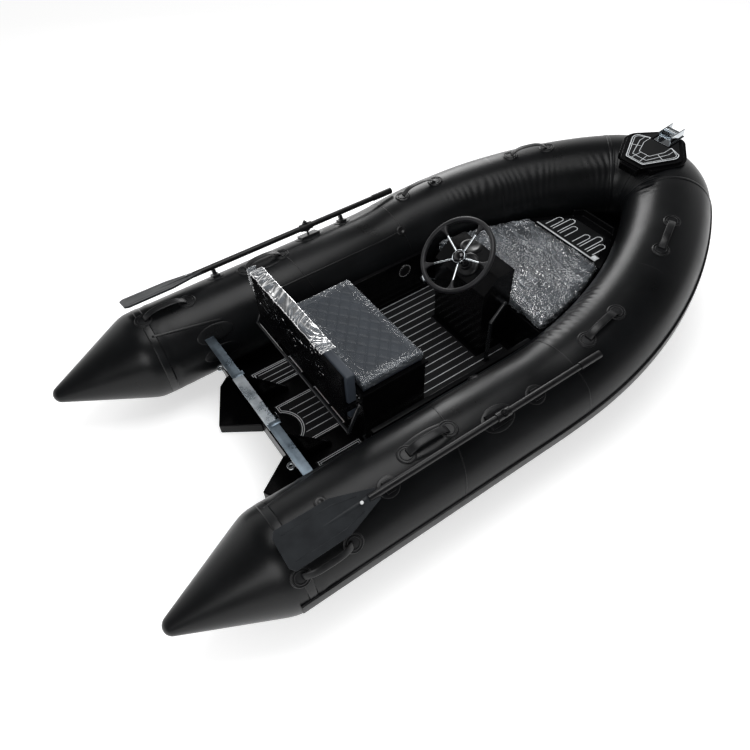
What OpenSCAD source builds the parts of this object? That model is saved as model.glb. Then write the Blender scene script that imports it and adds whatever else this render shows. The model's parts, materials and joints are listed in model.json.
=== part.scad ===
// Rigid-hulled inflatable boat, 3.6 m: V hull, buoyancy tubes, helm console, seats and stowed oars.
// X runs to the bow, Y to port, Z up. The origin is on the centreline at the waterline, level with
// the tips of the stern cones.

/* [Boat] */
// Overall length over the tubes
length = 3600; // [3400:10:4000]
// Beam over the tubes
beam = 1820; // [1760:10:2100]
// Diameter of the buoyancy tube
tube_d = 460; // [420:5:490]
// Height of the underside of the tube above the waterline
tube_clear = 60; // [40:5:100]
// Length of each stern cone
cone_len = 450; // [350:10:600]
// Angle at which the tube climbs to the bow
sheer = 8; // [5:0.5:11]
// Radius of the tube's round corner at the stem
bow_r = 290; // [270:5:330]
// Length of the bow along its slope, from where the side tubes start to turn
bow_run = 1376; // [1250:2:1500]

/* [Hull] */
// Depth of the keel below the waterline
keel_depth = 150; // [100:5:200]
// Height of the cockpit floor above the waterline
floor_z = 88; // [80:2:92]
// Thickness of the foam deck mats
mat_t = 6; // [4:1:10]
// Height of the side coamings above the floor
coaming_h = 272; // [200:4:290]
// Gap between each coaming and the tube
coaming_gap = 30; // [20:1:50]

/* [Transom] */
// Height of the transom's top above the waterline
transom_z = 404; // [380:2:430]
// Thickness of the transom board
transom_t = 40; // [30:1:50]
// Rake of the transom from the vertical
rake = 12; // [8:1:15]
// Position of the transom's top aft edge
transom_x = 740; // [700:5:780]
// Width of the motor pad
pad_w = 330; // [250:10:400]

/* [Seats] */
// Width of the helm seat
seat_w = 640; // [560:10:680]
// Depth of the helm seat, fore and aft
seat_d = 350; // [300:10:370]
// Height of the helm seat's box above the waterline
seat_z = 462; // [420:2:500]
// Thickness of the seat cushion
cushion_t = 56; // [40:2:70]
// Gap between each end of the backrest and the tube
back_gap = 50; // [40:5:100]
// Height of the backrest
back_h = 275; // [220:5:300]
// Height of the bow locker's aft part above the waterline
locker_z = 330; // [300:5:350]

/* [Helm] */
// Diameter of the steering wheel
wheel_d = 400; // [320:5:420]
// Diameter of the wheel's rim
rim_d = 26; // [20:1:32]
// Height of the wheel's centre above the waterline
wheel_z = 672; // [640:2:700]
// Tilt of the wheel's axis above the horizontal
wheel_tilt = 52; // [40:1:65]
// Depth of the wheel's hub below the plane of its rim
wheel_dish = 20; // [10:1:30]
// Height of the console's top above the waterline
console_z = 600; // [560:5:630]

/* [Oars] */
// Length of an oar
oar_l = 1620; // [1500:10:1700]
// Diameter of an oar's shaft
shaft_d = 30; // [25:1:34]
// Angle of the stowed oar around the tube, from the top towards the outside
oar_angle = 24; // [18:1:32]
// Gap between the shaft and the tube's skin
oar_gap = 37; // [32:1:50]

/* [Hidden] */
$fn = 64;
fine = 256;           // facets of the large arcs
gap = 0.3;            // between pieces that seat on each other
skin_gap = 1;         // between a rigid piece and the fabric tube
play = 5;             // between a mat and what stands on the floor
tube_r = tube_d / 2;
tube_z = tube_clear + tube_r;
side_y = (beam - tube_d) / 2;
tip_r = 50;
tip_x = 55;
// Plan of the tube: straight side, side arc that turns by bow_turn, stem arc, all tangent
side_r = (pow(bow_run - bow_r, 2) + pow(side_y, 2) - pow(bow_r, 2)) / (2 * (side_y - bow_r));
bow_turn = asin((bow_run - bow_r) / (side_r - bow_r));
bow_x = length - tube_r;
bend_r = 1500;
sheer_x = bow_x - bow_run * cos(sheer);
sheer_z = tube_z + bend_r * (1 - cos(sheer));
bend_x = sheer_x - bend_r * sin(sheer);
// Angle that an arc of this length and radius turns
function turn_of(l, r) = l / r * 180 / PI;
// Half width between the tubes at a height beside the straight tubes
function clear_y(z, c) = side_y - sqrt(pow(tube_r + c, 2) - pow(z - tube_z, 2));
// A point of the tube's centreline in the inclined plane of the bow, a = angle turned
function side_arc(a) = [side_r * sin(a), side_y - side_r * (1 - cos(a))];
function stem_arc(a) = [bow_run - bow_r * (1 - sin(a)), bow_r * cos(a)];
function plane_to_boat(p, h) =
    [sheer_x + p[0] * cos(sheer) - h * sin(sheer), p[1], sheer_z + p[0] * sin(sheer) + h * cos(sheer)];
// Shape of the transom
function rake_x(z) = transom_x + (transom_z - z) * tan(rake);
transom_half = clear_y(transom_z, skin_gap);
cap_t = 3;
cap_drop = 46;
eye_inset = 99;
// Stern pods
pod_tip = [612, 235];
pod_top = tube_clear - 2;
pod_low = -60;
hull_aft = rake_x(floor_z) - 10;
// Seat box, its lid, cushion and backrest
seat_x = 1145;
lip = 8;
skirt_x = seat_x - lip;
barrel_r = 4;
box_t = 8;
lid_t = 12;
seat_fwd = seat_x + seat_d;
cushion_z = seat_z + gap + lid_t + gap;
seat_top = cushion_z + cushion_t;
back_x = 1010;
back_w = 2 * (side_y - tube_r - back_gap);
back_t = 66;
board_t = 12;
back_z = seat_top - 60;
pivot = [back_x + back_t - 12, seat_top + 22];
upright_r = 9;
upright_y = back_w / 2 + 6 + upright_r;
rail_z = 420;
lug_t = 26;
lug_r = 16;
// Console and wheel
console_x = 1950;
console_d = 190;
console_w = 380;
face_d = 84;
face_h = 79;
coaming_y = side_y - tube_r - coaming_gap;
coaming_end = sheer_x + 52;
wheel_c = [1925, 0, wheel_z];
helm_r = 20;
spindle_r = 11;
spoke_turn = 70;
// Bow locker
locker_x = console_x + console_d + 14;
locker_end = bow_x - 360;
step_x = locker_end - 290;
step_z = locker_z + 44;
locker_clear = 14;
front_t = 46;
front_top = locker_z + lid_t + 2 * gap + front_t;
hinge_w = 430;
// Oars: pivot and ends along X
pin_x = bend_x - 274;
grip_x = pin_x + 570;
oar_lift = oar_gap + shaft_d / 2;
oar_r = tube_r + oar_lift;
blade_l = 420;
blade_w = 165;
collar_l = 70;
grip_l = 125;
pin_r = 6;
clip_x = [pin_x - 565, pin_x + 215];

// ---- helpers ----
module both() {
    children();
    mirror([0, 1, 0]) children();
}

// Box given by its low and high corners
module block(low, high) {
    translate(low) cube(high - low);
}

// Extrudes an outline drawn in X and Z across the boat, from y0 to y1
module across(y0, y1) {
    translate([0, y1, 0]) rotate([90, 0, 0]) linear_extrude(y1 - y0) children();
}

// The inclined plane of the bow
module bow_plane() {
    translate([sheer_x, 0, sheer_z]) rotate([0, -sheer, 0]) children();
}

// Sweeps a section of the port tube: x outboard and y up from the tube's centre
module sweep_straight(x0, x1) {
    translate([x0, side_y, tube_z]) rotate([90, 0, 90]) linear_extrude(x1 - x0) children();
}

module sweep_bend() {
    translate([bend_x, side_y, tube_z + bend_r]) rotate([90, 0, 0]) rotate([0, 0, -90])
        rotate_extrude(angle = sheer - turn_of(gap, bend_r), $fn = fine)
            translate([bend_r, 0]) mirror([1, 0]) rotate(-90) children();
}

module sweep_side() {
    bow_plane() translate([0, side_y - side_r, 0]) rotate([0, 0, 90 - bow_turn])
        rotate_extrude(angle = bow_turn, $fn = fine) translate([side_r, 0]) children();
}

module sweep_stem() {
    start = bow_turn - 90 + turn_of(gap, bow_r);
    bow_plane() translate([bow_run - bow_r, 0, 0]) rotate([0, 0, start])
        rotate_extrude(angle = -2 * start, $fn = fine) translate([bow_r, 0]) children();
}

// Puts a piece on the port tube: z out from the skin, x forward, turned out by a from the top
module on_tube(x, a, h = 0) {
    translate([x, side_y, tube_z]) rotate([-a, 0, 0]) translate([0, 0, tube_r + h]) children();
}

// The same on the inclined bow plane, after the side arc has turned by t
module on_bow(t, a, h = 0) {
    bow_plane() translate([side_arc(t)[0], side_arc(t)[1], 0]) rotate([0, 0, -t]) rotate([-a, 0, 0])
        translate([0, 0, tube_r + h]) children();
}

// ---- tubes ----
module side_tube() {
    color("#151517") union() {
        translate([tip_x, side_y, tube_z]) rotate([0, 90, 0])
            cylinder(h = cone_len - tip_x, r1 = tip_r, r2 = tube_r, $fn = fine);
        sweep_straight(cone_len, bend_x) circle(tube_r, $fn = fine);
        sweep_bend() circle(tube_r, $fn = fine);
    }
}

module tube_port() { side_tube(); }

module tube_starboard() { mirror([0, 1, 0]) side_tube(); }

module tube_bow_port() {
    color("#151517") sweep_side() circle(tube_r, $fn = fine);
}

module tube_bow_starboard() {
    color("#151517") mirror([0, 1, 0]) sweep_side() circle(tube_r, $fn = fine);
}

module tube_stem() {
    color("#151517") sweep_stem() circle(tube_r, $fn = fine);
}

// Round moulded ends of the cones
module tail_caps() {
    edge = 22;
    color("#1c1c1e") both() translate([0, side_y, tube_z]) rotate([0, 90, 0]) rotate_extrude() {
        translate([0, edge]) square([tip_r, tip_x - gap - edge]);
        square([tip_r - edge, edge]);
        intersection() {
            translate([tip_r - edge, edge]) circle(edge);
            square([tip_r, edge]);
        }
    }
}

// Section of the rubber strake around the widest part of the tube
module strake_section() {
    difference() {
        intersection() {
            circle(tube_r + 9, $fn = fine);
            translate([tube_r / 2, -26]) square([tube_r, 52]);
        }
        circle(tube_r + gap, $fn = fine);
    }
}

// Strake in lengths that butt with a hairline joint
module rub_strake() {
    color("#101012") {
        both() {
            sweep_straight(cone_len + 10, bend_x - gap) strake_section();
            sweep_bend() strake_section();
            sweep_side() strake_section();
        }
        sweep_stem() strake_section();
    }
}

// ---- hull ----
// Ribs of the hull, one per station: from the keel, round the chine and under the tube to the deck.
// A station is [centre of the tube, turn of the tube, climb of the tube].
hull_r = tube_r + 2;
deck_drop = tube_z - floor_z;
deck_angle = 180 - asin(deck_drop / hull_r);
deck_lip = 20;
chine_in = 95;
chine_drop = hull_r + 20;
arc_low = 94;
arc_points = 4;
straight_n = 4;
bend_n = 3;
side_n = 7;
stem_n = 7;
stem_turn = 86.5;
stem_x = bow_x - 55;
stem_z = 225;
keel_power = 2.2;
ramp_x = locker_x + 190;
ramp_slope = 0.25;
function between(a, b, k) = a + (b - a) * k;
// Height of the keel along the boat: level, then rising in a curve to the stem
function keel_z(x) = x < sheer_x ? -keel_depth
    : between(-keel_depth, stem_z, pow((x - sheer_x) / (stem_x - sheer_x), keel_power));
// Height of the plane through the deck's edges in the bow, and of the deck itself
function bow_deck_z(x) = sheer_z - deck_drop * cos(sheer)
    + (x - sheer_x - deck_drop * sin(sheer)) * tan(sheer);
function deck_z(x) = x < ramp_x ? floor_z : min(bow_deck_z(x), floor_z + (x - ramp_x) * ramp_slope);
function rib_point(s, o, h) = let (c = s[0], t = s[1], e = s[2])
    c + [o * sin(t) * cos(e) - h * sin(e), o * cos(t), o * sin(t) * sin(e) + h * cos(e)];
function keel_point(s) = let (x = rib_point(s, -chine_in, -chine_drop)[0]) [x, 0, keel_z(x)];
function deck_point(s) = let (p = rib_point(s, hull_r * cos(deck_angle) - deck_lip, -deck_drop))
    [p[0], p[1], deck_z(p[0])];
function rib(s) = concat([keel_point(s), rib_point(s, -chine_in, -chine_drop)],
    [for (i = [0:arc_points]) let (a = between(arc_low, deck_angle, i / arc_points))
        rib_point(s, hull_r * cos(a), -hull_r * sin(a))], [deck_point(s)]);
stations = concat(
    [for (i = [0:straight_n]) [[between(hull_aft, bend_x, i / straight_n), side_y, tube_z], 0, 0]],
    [for (i = [1:bend_n - 1]) let (e = sheer * i / bend_n)
        [[bend_x + bend_r * sin(e), side_y, tube_z + bend_r * (1 - cos(e))], 0, e]],
    [for (i = [0:side_n]) let (t = bow_turn * i / side_n) [plane_to_boat(side_arc(t), 0), t, sheer]],
    [for (i = [1:stem_n]) let (t = between(bow_turn, stem_turn, i / stem_n))
        [plane_to_boat(stem_arc(t), 0), t, sheer]]);
function mirrored(r) = [for (i = [len(r) - 1:-1:1]) [r[i][0], -r[i][1], r[i][2]]];
ribs = [for (s = stations) concat(rib(s), mirrored(rib(s)))];
rib_n = len(ribs[0]);
rib_last = len(ribs) - 1;

module hull() {
    color("#17171a") polyhedron(
        points = [for (r = ribs) for (p = r) p],
        faces = concat(
            [[for (j = [rib_n - 1:-1:0]) j]],
            [[for (j = [0:rib_n - 1]) rib_last * rib_n + j]],
            [for (i = [0:rib_last - 1]) for (j = [0:rib_n - 1])
                let (a = i * rib_n + j, b = i * rib_n + (j + 1) % rib_n)
                    each [[a, b, a + rib_n], [b, b + rib_n, a + rib_n]]]));
}

// Pointed planing pods either side of the motor well
module stern_pods() {
    color("#17171a") both() translate([0, 0, pod_low]) linear_extrude(pod_top - pod_low)
        polygon([pod_tip, [hull_aft - gap, 110], [hull_aft - gap, 520],
            pod_tip + [120, 235], pod_tip + [14, 27]]);
}

// ---- transom ----
module tube_space(c) {
    both() translate([cone_len, side_y, tube_z]) rotate([0, 90, 0])
        cylinder(h = 800, r = tube_r + c, $fn = fine);
}

module transom() {
    color("#1a1a1c") difference() {
        across(-side_y, side_y) board_outline(floor_z, transom_z, 0);
        tube_space(skin_gap);
        both() block([0, transom_half, 0], [1500, side_y + 1, 1000]);
    }
}

// Outline of the board between two heights, grown aft and forward by a distance
module board_outline(low, high, grow) {
    polygon([[rake_x(high) - grow, high], [rake_x(high) + transom_t + grow, high],
        [rake_x(low) + transom_t + grow, low], [rake_x(low) - grow, low]]);
}

// Section of the folded metal over the board's top
module cap_section(t) {
    difference() {
        board_outline(transom_z - cap_drop, transom_z + gap + t, gap + t);
        board_outline(transom_z - cap_drop - 1, transom_z + gap, gap);
    }
}

module transom_cap() {
    color("#b9bcc0") difference() {
        both() across(pad_w / 2 + gap, transom_half) cap_section(cap_t);
        tube_space(skin_gap);
    }
}

module motor_pad() {
    color("#d6d8da") across(-pad_w / 2, pad_w / 2) cap_section(cap_t + 3);
}

// Ring plates bolted to the aft face of the transom
module towing_eyes() {
    z = transom_z - cap_drop - 40;
    y = side_y - tube_r - skin_gap - eye_inset;
    color("#c8cacc") both() translate([rake_x(z) - gap, y, z]) rotate([0, -rake, 0]) rotate([0, -90, 0]) {
        translate([-25, -18, 0]) cube([50, 36, 4]);
        translate([-5, 0, 20]) rotate([0, 90, 0]) difference() {
            union() {
                cylinder(h = 10, r = 18);
                translate([0, -14, 0]) cube([17, 28, 10]);
            }
            translate([0, 0, -1]) cylinder(h = 12, r = 9);
        }
    }
}

// Triangular boards that stiffen the transom from inside
module transom_knees() {
    color("#131315") both() across(205, 223) polygon([
        [rake_x(transom_z - cap_drop - 6) + transom_t + gap, transom_z - cap_drop - 6],
        [rake_x(floor_z) + transom_t + gap, floor_z + gap], [1010, floor_z + gap], [1010, floor_z + 22]]);
}

// Side coamings with a flat ledge that reaches the tube
module side_coamings() {
    top = floor_z + coaming_h;
    color("#161618") both() union() {
        block([1110, coaming_y, floor_z + gap], [coaming_end, coaming_y + 10, top]);
        block([1110, coaming_y, top - 10], [coaming_end, coaming_y + coaming_gap - 4, top]);
    }
}

// ---- floor ----
mat_z = floor_z + gap;
module floor_mat_aft() {
    color("#2a2c2e") translate([0, 0, mat_z]) linear_extrude(mat_t) difference() {
        union() {
            translate([890, -150]) square([seat_x - play - 890, 300]);
            both() translate([890, 262]) square([seat_x - play - 890, coaming_y - play - 262]);
        }
        translate([840, 0]) circle(105);
    }
}

module floor_mat_mid() {
    color("#2a2c2e") translate([0, 0, mat_z]) linear_extrude(mat_t) difference() {
        translate([seat_x - play, -coaming_y + play])
            square([locker_x - 34 - seat_x, 2 * (coaming_y - play)]);
        translate([seat_x - 2 * play, -seat_w / 2 - play]) square([seat_d + 3 * play, seat_w + 2 * play]);
        translate([console_x - play, -console_w / 2 - play]) square([300, console_w + 2 * play]);
        translate([1975, -242]) circle(20);
    }
}

// ---- helm seat ----
module seat_box() {
    color("#141416") difference() {
        block([seat_x, -seat_w / 2, floor_z + gap], [seat_fwd, seat_w / 2, seat_z]);
        block([seat_x + box_t, -seat_w / 2 + box_t, floor_z + gap + box_t],
            [seat_fwd - box_t, seat_w / 2 - box_t, seat_z + 1]);
    }
}

// Lid that carries the seat: hinged on its forward edge, with a skirt behind for the backrest's frame
module seat_lid() {
    side = seat_w / 2 + lip;
    color("#141416") union() {
        block([skirt_x, -side, seat_z + gap], [seat_fwd + barrel_r, side, seat_z + gap + lid_t]);
        block([skirt_x, -side, rail_z - 46], [seat_x - gap, side, seat_z + gap + lid_t]);
        translate([seat_fwd + barrel_r, -side, seat_z + gap + barrel_r]) rotate([-90, 0, 0])
            cylinder(h = 2 * side, r = barrel_r);
    }
}

module seat_cushion() {
    color("#3a414b") block([seat_x, -seat_w / 2, cushion_z], [seat_fwd - 4, seat_w / 2, seat_top]);
}

// Bent stainless tube that carries the backrest's pivots, with two plates to the lid's skirt
module backrest_frame() {
    rail_x = back_x - 8;
    pin_y = back_w / 2 - 20;
    color("#c4c7ca") union() {
        translate([rail_x, -upright_y, rail_z]) rotate([-90, 0, 0])
            cylinder(h = 2 * upright_y, r = upright_r);
        both() {
            translate([rail_x, upright_y, rail_z]) sphere(upright_r + 1);
            strut([rail_x, upright_y, rail_z], [pivot[0], upright_y, pivot[1]], upright_r);
            translate([pivot[0], pin_y, pivot[1]]) rotate([-90, 0, 0])
                cylinder(h = upright_y + upright_r - pin_y, r = pin_r);
            across(237, 243) polygon([[rail_x, rail_z - 7], [rail_x, rail_z + 7],
                [skirt_x - gap, rail_z + 16], [skirt_x - gap, rail_z - 40]]);
            block([skirt_x - gap - 4, 222, rail_z - 42], [skirt_x - gap, 258, rail_z + 18]);
        }
    }
}

// Round bar between two points that lie in one fore-and-aft plane
module strut(a, b, r) {
    d = b - a;
    translate(a) rotate([0, atan2(d[0], d[2]), 0]) cylinder(h = norm(d), r = r);
    translate(b) sphere(r + 1);
}

// Flat back of the backrest with pivot blocks that the frame's pins run in
module backrest_board() {
    pin_y = back_w / 2 - 22;
    color("#121214") difference() {
        union() {
            block([back_x, -back_w / 2 + 15, back_z], [back_x + board_t, back_w / 2 - 15, back_z + back_h]);
            both() block([back_x + 4, back_w / 2 - lug_t, pivot[1] - lug_r],
                [pivot[0] + 11, back_w / 2, pivot[1] + lug_r]);
        }
        both() translate([pivot[0], pin_y, pivot[1]]) rotate([-90, 0, 0])
            cylinder(h = 40, r = pin_r + 0.05);
    }
}

module backrest_cushion() {
    color("#3a414b") difference() {
        block([back_x + board_t + gap, -back_w / 2, back_z], [back_x + back_t, back_w / 2, back_z + back_h]);
        both() block([back_x, back_w / 2 - lug_t - 0.5, pivot[1] - lug_r - 0.5],
            [pivot[0] + 30, back_w / 2 + 1, pivot[1] + lug_r + 0.5]);
    }
}

// ---- console and steering ----
module wheel_frame() {
    translate(wheel_c) rotate([0, wheel_tilt - 90, 0]) children();
}

module console_side() {
    front = console_x + console_d;
    polygon([[console_x + 14, floor_z + gap], [front, floor_z + gap], [front, console_z],
        [console_x + face_d, console_z], [console_x, console_z - face_h]]);
}

module console() {
    color("#151517") difference() {
        across(-console_w / 2, console_w / 2) console_side();
        across(-console_w / 2 + box_t, console_w / 2 - box_t) offset(delta = -box_t) console_side();
        across(-console_w / 2 + box_t, console_w / 2 - box_t) translate([0, -box_t * 2])
            offset(delta = -box_t) console_side();
        wheel_frame() translate([0, 0, -220]) cylinder(h = 220, r = helm_r + gap);
    }
}

// Steering gear body behind the console's face, with its spindle up to the wheel
module helm_unit() {
    color("#b8bbbf") wheel_frame() translate([0, 0, -150]) {
        cylinder(h = 62, r = helm_r);
        cylinder(h = 147 - wheel_dish, r = spindle_r);
    }
}

module wheel_rim() {
    color("#1b1b1d") wheel_frame() rotate_extrude()
        translate([wheel_d / 2 - rim_d / 2, 0]) circle(rim_d / 2);
}

module wheel_spokes() {
    spoke_root = 28;
    spoke_low = -9 - wheel_dish;
    reach = wheel_d / 2 - rim_d - spoke_root - gap;
    color("#d5d7d9") wheel_frame() difference() {
        union() {
            translate([0, 0, -20 - wheel_dish]) cylinder(h = 22, r = 34);
            for (i = [0:4]) rotate([0, 0, spoke_turn + i * 72]) translate([spoke_root, 0, spoke_low])
                rotate([0, 90 + atan2(spoke_low, reach), 0]) cylinder(h = norm([reach, spoke_low]), r = 5.5);
        }
        translate([0, 0, -21 - wheel_dish]) cylinder(h = 19.4, r = spindle_r + 0.05);
    }
}

module wheel_cap() {
    color("#0f0f10") wheel_frame() translate([0, 0, 2 + gap - wheel_dish]) cylinder(h = 8, r1 = 31, r2 = 24);
}

// Bent rail from the console's side down to the floor
module grab_rail() {
    y = -console_w / 2 - 50;
    r = 11;
    color("#2c2d2f") union() {
        translate([1975, y, floor_z + gap]) cylinder(h = 4, r = 17);
        translate([1975, y, floor_z + gap]) cylinder(h = 280, r = r);
        translate([1975, y, floor_z + gap + 280]) sphere(r + 1);
        strut([1975, y, floor_z + gap + 280], [2050, y, 460], r);
        translate([2050, -console_w / 2 - gap, 460]) rotate([90, 0, 0]) cylinder(h = 50 - gap, r = r);
        translate([2050, -console_w / 2 - gap, 460]) rotate([90, 0, 0]) cylinder(h = 5, r = 18);
    }
}

// ---- bow locker ----
// Plan outline that stays inside the tube by a clearance, up to the end of the locker
function inner_outline(c) = let (side = concat(
        [for (i = [0:10]) let (t = bow_turn * i / 10, p = side_arc(t), o = -(tube_r + c))
            [sheer_x + (p[0] + o * sin(t)) * cos(sheer), p[1] + o * cos(t)]],
        [for (i = [1:6]) let (t = bow_turn + (90 - bow_turn) * i / 6, p = stem_arc(t), o = -(tube_r + c))
            [sheer_x + (p[0] + o * sin(t)) * cos(sheer), p[1] + o * cos(t)]]))
    concat(side, [for (i = [len(side) - 2:-1:0]) [side[i][0], -side[i][1]]]);

module locker_plan(c, x0, x1) {
    intersection() {
        polygon(inner_outline(c));
        translate([x0, -side_y]) square([x1 - x0, 2 * side_y]);
    }
}

// Everything above the deck, with a clearance
module above_deck(c) {
    deck = [for (s = stations) let (p = deck_point(s)) [p[0], p[2] + c]];
    across(-side_y, side_y) polygon(concat(deck, [[length, length], [0, length]]));
}

// Moulded locker: side walls, a ledge all round for the lid, and a wall where the step begins
module bow_locker() {
    color("#141416") intersection() {
        above_deck(gap);
        difference() {
            linear_extrude(locker_z) locker_plan(locker_clear, locker_x, step_x - gap);
            linear_extrude(locker_z - 10) locker_plan(locker_clear + 10, locker_x + 10, step_x - 10);
            linear_extrude(locker_z + 1) locker_plan(locker_clear + 55, locker_x + 45, step_x - 55);
        }
    }
}

// Step at the bow, with a coaming at its forward end
module bow_step() {
    color("#141416") intersection() {
        above_deck(gap);
        difference() {
            union() {
                linear_extrude(step_z) locker_plan(locker_clear, step_x, locker_end);
                linear_extrude(step_z + 40) difference() {
                    locker_plan(locker_clear, locker_end - 60, locker_end);
                    locker_plan(locker_clear + 12, 0, locker_end - 12);
                }
            }
            linear_extrude(step_z - 10) locker_plan(locker_clear + 10, step_x + 10, locker_end - 10);
        }
    }
}

// Lid with a metal hinge leaf that rises in front of the cushion to the hinge's barrel
module locker_lid() {
    leaf_x = step_x - 8 + gap;
    color("#141416") union() {
        translate([0, 0, locker_z + gap]) linear_extrude(lid_t)
            locker_plan(locker_clear + 30, locker_x + 20, leaf_x);
        block([leaf_x, -hinge_w / 2, locker_z + gap], [leaf_x + barrel_r, hinge_w / 2, front_top]);
        translate([leaf_x + barrel_r, -hinge_w / 2, front_top]) rotate([-90, 0, 0])
            cylinder(h = hinge_w, r = barrel_r);
    }
}

module front_cushion() {
    color("#3a414b") translate([0, 0, locker_z + lid_t + 2 * gap]) linear_extrude(front_t)
        locker_plan(locker_clear + 18, locker_x, step_x - 8);
}

module bow_step_mat() {
    color("#2a2c2e") translate([0, 0, step_z + gap]) linear_extrude(mat_t)
        locker_plan(locker_clear + 40, step_x + 8, locker_end - 75);
}

// ---- bow plate on top of the stem ----
// Rounded at the aft corners, the two lobes and the fore corners: x, y, radius, start and end of each arc
plate_arcs = [[-150, 50, 40, 180, 120.7], [0, 110, 65, 120.7, 47.2], [105, 40, 45, 47.2, 0]];
arc_steps = 7;
function arc_points(arc, grow) = [for (i = [0:arc_steps]) let (turn = arc[3] + (arc[4] - arc[3]) * i / arc_steps)
    [arc[0] + (arc[2] + grow) * cos(turn), arc[1] + (arc[2] + grow) * sin(turn)]];
module plate_outline(grow) {
    half = [for (arc = plate_arcs) each arc_points(arc, grow)];
    far = len(half) - 1;
    polygon(concat(half, [for (i = [0:far]) [half[far - i][0], -half[far - i][1]]]));
}

plate_h = tube_r + 18;
module bow_plate() {
    color("#161618") bow_plane() translate([bow_run, 0, 0]) difference() {
        union() {
            translate([0, 0, tube_r - 34]) linear_extrude(plate_h - tube_r + 34) plate_outline(0);
            translate([0, 0, tube_r - 34]) linear_extrude(40) plate_outline(18);
        }
        translate([-bow_r, 0, 0]) rotate([0, 0, -90]) rotate_extrude(angle = 180)
            translate([bow_r, 0]) circle(tube_r + skin_gap, $fn = fine);
        translate([-bow_r - 200, -400, 0]) cube([200, 800, 600]);
        both() translate([-bow_r - 1, 60, 0]) cube([140, 400, plate_h - 12]);
    }
}

module bow_plate_mat() {
    color("#2a2c2e") bow_plane() translate([bow_run, 0, plate_h + gap]) linear_extrude(mat_t) difference() {
        plate_outline(-22);
        translate([40, -62]) square([200, 124]);
    }
}

// Roller between two cheeks for the anchor line
module bow_roller() {
    color("#a8abae") bow_plane() translate([bow_run, 0, plate_h + gap]) {
        translate([48, -50, 0]) cube([130, 100, 5]);
        for (s = [-1, 1]) translate([70, s * 40 - 3, 0]) cube([105, 6, 48]);
        translate([140, -38, 28]) rotate([-90, 0, 0]) cylinder(h = 76, r = 15);
    }
}

// Ring bolted through the stem for towing and lifting
module bow_eye() {
    aft = ribs[straight_n + bend_n + side_n - 1][0];
    fore = ribs[straight_n + bend_n + side_n][0];
    slope = atan2(fore[2] - aft[2], fore[0] - aft[0]);
    color("#c8cacc") translate((aft + fore) / 2) rotate([0, -slope, 0]) difference() {
        union() {
            translate([-40, -11, -gap - 4]) cube([80, 22, 4]);
            translate([0, 6, -28]) rotate([90, 0, 0]) cylinder(h = 12, r = 22);
            translate([-16, -6, -28]) cube([32, 12, 26]);
        }
        translate([0, 7, -28]) rotate([90, 0, 0]) cylinder(h = 14, r = 11);
    }
}

// ---- oars ----
// Shaft's frame: x forward along the oar, z away from the tube
module oar_frame() {
    translate([0, side_y, tube_z]) rotate([-oar_angle, 0, 0]) translate([0, 0, oar_r]) children();
}

// Foot on the tube with the pivot pin that an oar turns on
module rowlocks() {
    color("#1a1a1c") both() oar_frame() translate([pin_x, 0, 0]) {
        difference() {
            translate([-55, -34, -oar_lift - 4]) cube([110, 68, 16]);
            translate([-80, 0, -oar_r]) rotate([0, 90, 0]) cylinder(h = 160, r = tube_r + gap, $fn = fine);
        }
        translate([0, 0, -oar_lift + 11]) cylinder(h = oar_lift + 25, r = pin_r);
        translate([0, 0, shaft_d / 2 + 10]) cylinder(h = 5, r = 11);
    }
}

// Clips near the blade and the grip that hold a stowed oar
module oar_clips() {
    color("#1a1a1c") both() oar_frame() for (x = clip_x) translate([x, 0, 0]) {
        difference() {
            translate([-20, -26, -oar_lift - 4]) cube([40, 52, 16]);
            translate([-50, 0, -oar_r]) rotate([0, 90, 0]) cylinder(h = 100, r = tube_r + gap, $fn = fine);
        }
        translate([-10, -10, -oar_lift + 10]) cube([20, 20, oar_lift - 10 - shaft_d / 2 - gap]);
    }
}

// Shaft with its pivot collar and grip
module oar() {
    root = grip_x - oar_l + blade_l - 40;
    difference() {
        union() {
            translate([root, 0, 0]) rotate([0, 90, 0]) cylinder(h = grip_x - root, r = shaft_d / 2);
            translate([grip_x - grip_l, 0, 0]) rotate([0, 90, 0]) cylinder(h = grip_l, r = shaft_d / 2 + 3);
            translate([pin_x - collar_l / 2, 0, 0]) rotate([0, 90, 0])
                cylinder(h = collar_l, r = shaft_d / 2 + 5);
            translate([pin_x, 0, -shaft_d / 2 - 8]) cylinder(h = shaft_d + 16, r = 16);
        }
        translate([pin_x, 0, -60]) cylinder(h = 120, r = pin_r + 0.05);
    }
}

module blade() {
    tip = grip_x - oar_l;
    translate([tip, 0, -4]) difference() {
        linear_extrude(10) polygon([[18, -blade_w / 2], [0, -blade_w / 2 + 22], [0, blade_w / 2 - 22],
            [18, blade_w / 2], [250, blade_w / 2 - 4], [blade_l, 24], [blade_l, -24],
            [250, -blade_w / 2 + 4]]);
        translate([blade_l - 40 - gap, 0, 4]) rotate([0, 90, 0]) cylinder(h = 60, r = shaft_d / 2 + gap);
    }
}

module oar_port() { color("#26272a") oar_frame() oar(); }

module blade_port() { color("#3b3c3f") oar_frame() blade(); }

module oar_starboard() { color("#26272a") mirror([0, 1, 0]) oar_frame() oar(); }

module blade_starboard() { color("#3b3c3f") mirror([0, 1, 0]) oar_frame() blade(); }

// ---- handles ----
// Bridge of webbing between two glued pads
module strap_handle(l) {
    difference() {
        union() {
            for (s = [-1, 1]) translate([s * l / 2, 0, -12]) cylinder(h = 16, r = 34);
            translate([-l / 2, -16, -2]) cube([l, 32, 34]);
        }
        translate([-l / 2 + 22, -17, -20]) cube([l - 44, 34, 46]);
        translate([-l, 0, -tube_r]) rotate([0, 90, 0]) cylinder(h = 2 * l, r = tube_r + gap, $fn = fine);
    }
}

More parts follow.
